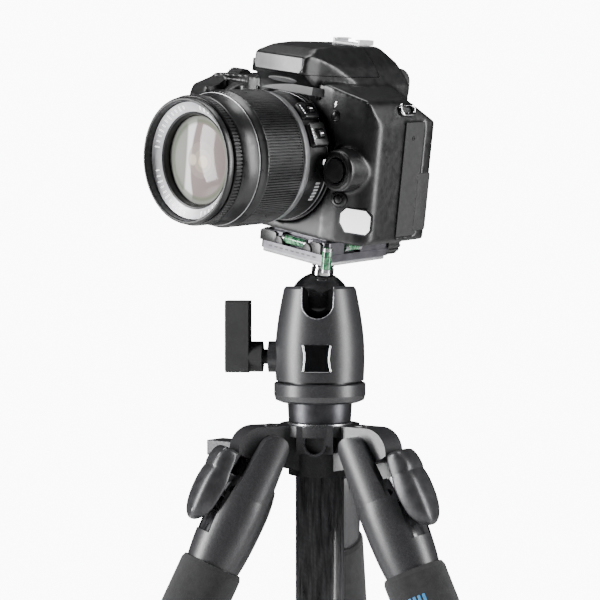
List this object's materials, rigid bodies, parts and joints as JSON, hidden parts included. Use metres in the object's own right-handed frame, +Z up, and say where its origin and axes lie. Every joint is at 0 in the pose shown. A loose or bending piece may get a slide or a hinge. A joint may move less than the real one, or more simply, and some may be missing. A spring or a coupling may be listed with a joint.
{
  "type": "camera on tripod",
  "caption": "Interchangeable-lens camera with a zoom lens, tilted on a ball head on a folding tripod with carbon tubes.",
  "frame": {"origin": "on the floor, under the axis of the centre column", "axes": "+Z up along the column; +Y along the rear leg; the two front legs lie at 210 and 330 degrees; the lens looks forward and to -X"},
  "size_m": [0.4786, 0.4178, 0.6974],
  "materials": {
    "casting": "satin dark grey with a fine speckle",
    "bolt_steel": "brushed",
    "polished_metal": "polished",
    "carbon": "woven carbon tube under clear resin",
    "anodised_grey": "satin anodised",
    "inner_plastic": "matte",
    "ball_black": "gloss",
    "chrome": "polished",
    "soft_black": "matte, finely grained",
    "clamp_grey": "satin anodised",
    "black_plastic": "matte",
    "level_glass": "clear green",
    "body_black": "satin, finely grained",
    "rubber_black": "matte",
    "lens_black": "satin",
    "lens_glass": "coated",
    "foam": "matte closed-cell foam",
    "latch_grey": "satin cast with polished edges"
  },
  "bodies": {
    "stand": {"spider_casting": "casting", "leg_pivot_bolts": "bolt_steel"},
    "column": {"column_tube": "carbon", "column_top_plate": "anodised_grey", "column_hook": "bolt_steel", "pan_base": "casting"},
    "column_knob": {"column_lock_knob": "polished_metal"},
    "housing": {"ball_housing": "casting"},
    "lever": {"lock_lever": "soft_black"},
    "side_lean": {"ball_seat": "inner_plastic"},
    "notch_tilt": {"ball": "ball_black"},
    "camera": {"ball_stem": "chrome", "clamp_body": "clamp_grey", "quick_plate": "clamp_grey", "spirit_levels": "level_glass", "front_shell": "body_black", "rear_shell": "body_black", "top_cover": "body_black", "hot_shoe": "chrome", "eyecup": "rubber_black", "lens_mount_ring": "chrome", "lens_barrel": "lens_black"},
    "clamp_screw": {"clamp_knob": "black_plastic"},
    "flash": {"flash_head": "body_black"},
    "shutter": {"shutter_button": "body_black"},
    "mode": {"mode_dial": "black_plastic"},
    "wheel": {"control_dial": "black_plastic"},
    "release": {"release_button": "body_black"},
    "port": {"port_cover": "rubber_black"},
    "zoom": {"zoom_ring": "lens_black"},
    "lens_front": {"inner_barrel": "lens_black", "front_glass": "lens_glass"},
    "focus": {"focus_ring": "lens_black"},
    "leg_a": {"leg_a_yoke": "casting", "leg_a_upper_tube": "carbon", "leg_a_grip": "foam"},
    "leg_a_stop": {"leg_a_latch": "latch_grey"},
    "leg_a_upper_collar": {"leg_a_upper_lock": "rubber_black"},
    "leg_a_middle": {"leg_a_middle_tube": "carbon"},
    "leg_a_lower_collar": {"leg_a_lower_lock": "rubber_black"},
    "leg_a_end": {"leg_a_lower_tube": "carbon", "leg_a_foot": "rubber_black"},
    "leg_b": {"leg_b_yoke": "casting", "leg_b_upper_tube": "carbon", "leg_b_grip": "foam"},
    "leg_b_stop": {"leg_b_latch": "latch_grey"},
    "leg_b_upper_collar": {"leg_b_upper_lock": "rubber_black"},
    "leg_b_middle": {"leg_b_middle_tube": "carbon"},
    "leg_b_lower_collar": {"leg_b_lower_lock": "rubber_black"},
    "leg_b_end": {"leg_b_lower_tube": "carbon", "leg_b_foot": "rubber_black"},
    "leg_c": {"leg_c_yoke": "casting", "leg_c_upper_tube": "carbon", "leg_c_grip": "foam"},
    "leg_c_stop": {"leg_c_latch": "latch_grey"},
    "leg_c_upper_collar": {"leg_c_upper_lock": "rubber_black"},
    "leg_c_middle": {"leg_c_middle_tube": "carbon"},
    "leg_c_lower_collar": {"leg_c_lower_lock": "rubber_black"},
    "leg_c_end": {"leg_c_lower_tube": "carbon", "leg_c_foot": "rubber_black"}
  },
  "joints": [
    {"name": "leg_a_spread", "type": "hinge", "parent": "stand", "child": "leg_a", "pos_m": [-0.02728, -0.01575, 0.4746], "axis": [-0.5, 0.866, 0], "range_deg": [-26.5, 50]},
    {"name": "leg_a_latch_pull", "type": "hinge", "parent": "leg_a", "child": "leg_a_stop", "pos_m": [-0.04662, -0.02692, 0.45445], "axis": [0.5, -0.866, 0], "range_deg": [0, 9], "stiffness_Nm_per_rad": 1},
    {"name": "leg_a_upper_lock_twist", "type": "hinge", "parent": "leg_a", "child": "leg_a_upper_collar", "pos_m": [-0.20426, -0.11793, 0.06472], "axis": [-0.3864, -0.2231, -0.8949], "range_deg": [0, 90]},
    {"name": "leg_a_lower_lock_twist", "type": "hinge", "parent": "leg_a_middle", "child": "leg_a_lower_collar", "pos_m": [-0.21778, -0.12574, 0.0334], "axis": [-0.3864, -0.2231, -0.8949], "range_deg": [0, 90]},
    {"name": "leg_a_middle_slide", "type": "slide", "parent": "leg_a", "child": "leg_a_middle", "axis": [-0.3864, -0.2231, -0.8949], "range_m": [0, 0.33]},
    {"name": "leg_a_lower_slide", "type": "slide", "parent": "leg_a_middle", "child": "leg_a_end", "axis": [-0.3864, -0.2231, -0.8949], "range_m": [0, 0.33]},
    {"name": "leg_b_spread", "type": "hinge", "parent": "stand", "child": "leg_b", "pos_m": [0.02728, -0.01575, 0.4746], "axis": [-0.5, -0.866, 0], "range_deg": [-26.5, 50]},
    {"name": "leg_b_latch_pull", "type": "hinge", "parent": "leg_b", "child": "leg_b_stop", "pos_m": [0.04662, -0.02692, 0.45445], "axis": [0.5, 0.866, 0], "range_deg": [0, 9], "stiffness_Nm_per_rad": 1},
    {"name": "leg_b_upper_lock_twist", "type": "hinge", "parent": "leg_b", "child": "leg_b_upper_collar", "pos_m": [0.20426, -0.11793, 0.06472], "axis": [0.3864, -0.2231, -0.8949], "range_deg": [0, 90]},
    {"name": "leg_b_lower_lock_twist", "type": "hinge", "parent": "leg_b_middle", "child": "leg_b_lower_collar", "pos_m": [0.21778, -0.12574, 0.0334], "axis": [0.3864, -0.2231, -0.8949], "range_deg": [0, 90]},
    {"name": "leg_b_middle_slide", "type": "slide", "parent": "leg_b", "child": "leg_b_middle", "axis": [0.3864, -0.2231, -0.8949], "range_m": [0, 0.33]},
    {"name": "leg_b_lower_slide", "type": "slide", "parent": "leg_b_middle", "child": "leg_b_end", "axis": [0.3864, -0.2231, -0.8949], "range_m": [0, 0.33]},
    {"name": "leg_c_spread", "type": "hinge", "parent": "stand", "child": "leg_c", "pos_m": [0, 0.0315, 0.4746], "axis": [1, 0, 0], "range_deg": [-26.5, 50]},
    {"name": "leg_c_latch_pull", "type": "hinge", "parent": "leg_c", "child": "leg_c_stop", "pos_m": [0, 0.05384, 0.45445], "axis": [-1, 0, 0], "range_deg": [0, 9], "stiffness_Nm_per_rad": 1},
    {"name": "leg_c_upper_lock_twist", "type": "hinge", "parent": "leg_c", "child": "leg_c_upper_collar", "pos_m": [0, 0.23586, 0.06472], "axis": [0, 0.4462, -0.8949], "range_deg": [0, 90]},
    {"name": "leg_c_lower_lock_twist", "type": "hinge", "parent": "leg_c_middle", "child": "leg_c_lower_collar", "pos_m": [0, 0.25148, 0.0334], "axis": [0, 0.4462, -0.8949], "range_deg": [0, 90]},
    {"name": "leg_c_middle_slide", "type": "slide", "parent": "leg_c", "child": "leg_c_middle", "axis": [0, 0.4462, -0.8949], "range_m": [0, 0.33]},
    {"name": "leg_c_lower_slide", "type": "slide", "parent": "leg_c_middle", "child": "leg_c_end", "axis": [0, 0.4462, -0.8949], "range_m": [0, 0.33]},
    {"name": "column_raise", "type": "slide", "parent": "stand", "child": "column", "axis": [0, 0, 1], "range_m": [0, 0.22]},
    {"name": "column_knob_turn", "type": "hinge", "parent": "stand", "child": "column_knob", "pos_m": [-0.03464, 0.02, 0.469], "axis": [-0.866, 0.5, 0], "range_deg": [-90, 270]},
    {"name": "head_pan", "type": "hinge", "parent": "column", "child": "housing", "pos_m": [0, 0, 0.511], "axis": [0, 0, 1], "continuous": true},
    {"name": "lever_turn", "type": "hinge", "parent": "housing", "child": "lever", "pos_m": [-0.03092, -0.00216, 0.5237], "axis": [-0.9976, -0.0698, 0], "range_deg": [-60, 90]},
    {"name": "ball_side_lean", "type": "hinge", "parent": "housing", "child": "side_lean", "pos_m": [0, 0, 0.5536], "axis": [-0.0698, 0.9976, 0], "range_deg": [-30.8, 19.2]},
    {"name": "ball_notch_tilt", "type": "hinge", "parent": "side_lean", "child": "notch_tilt", "pos_m": [0, 0, 0.5536], "axis": [-0.9924, -0.0694, 0.1012], "range_deg": [-78.2, 33.7]},
    {"name": "ball_stem_spin", "type": "hinge", "parent": "notch_tilt", "child": "camera", "pos_m": [0, 0, 0.5536], "axis": [0.1131, -0.1959, 0.9741], "continuous": true},
    {"name": "clamp_knob_turn", "type": "hinge", "parent": "camera", "child": "clamp_screw", "pos_m": [0.03114, 0.00664, 0.58684], "axis": [0.5685, 0.8168, 0.0983], "range_deg": [0, 180]},
    {"name": "flash_raise", "type": "hinge", "parent": "camera", "child": "flash", "pos_m": [0.01633, -0.02721, 0.69139], "axis": [-0.8149, 0.5427, 0.2037], "range_deg": [0, 60]},
    {"name": "shutter_press", "type": "slide", "parent": "camera", "child": "shutter", "axis": [0.2148, 0.6091, -0.7634], "range_m": [0, 0.0015], "stiffness_N_per_m": 600},
    {"name": "mode_dial_turn", "type": "hinge", "parent": "camera", "child": "mode", "pos_m": [-0.02716, -0.00006, 0.68075], "axis": [0.1131, -0.1959, 0.9741], "continuous": true},
    {"name": "control_dial_turn", "type": "hinge", "parent": "camera", "child": "wheel", "pos_m": [-0.04257, -0.01378, 0.67527], "axis": [0.8149, -0.5427, -0.2037], "continuous": true},
    {"name": "release_press", "type": "slide", "parent": "camera", "child": "release", "axis": [0.5685, 0.8168, 0.0983], "range_m": [0, 0.002], "stiffness_N_per_m": 700},
    {"name": "port_cover_open", "type": "hinge", "parent": "camera", "child": "port", "pos_m": [0.05747, -0.03906, 0.61853], "axis": [0.1131, -0.1959, 0.9741], "range_deg": [0, 110]},
    {"name": "zoom_turn", "type": "hinge", "parent": "camera", "child": "zoom", "pos_m": [-0.03264, -0.07678, 0.62757], "axis": [-0.5685, -0.8168, -0.0983], "range_deg": [0, 60]},
    {"name": "barrel_extend", "type": "slide", "parent": "camera", "child": "lens_front", "axis": [-0.5685, -0.8168, -0.0983], "range_m": [0, 0.0126]},
    {"name": "focus_turn", "type": "hinge", "parent": "lens_front", "child": "focus", "pos_m": [-0.04799, -0.09883, 0.62491], "axis": [-0.5685, -0.8168, -0.0983], "range_deg": [0, 90]}
  ],
  "couplings": [
    {"joint": "barrel_extend", "follows": "zoom_turn", "m_per_rad": 0.012}
  ]
}
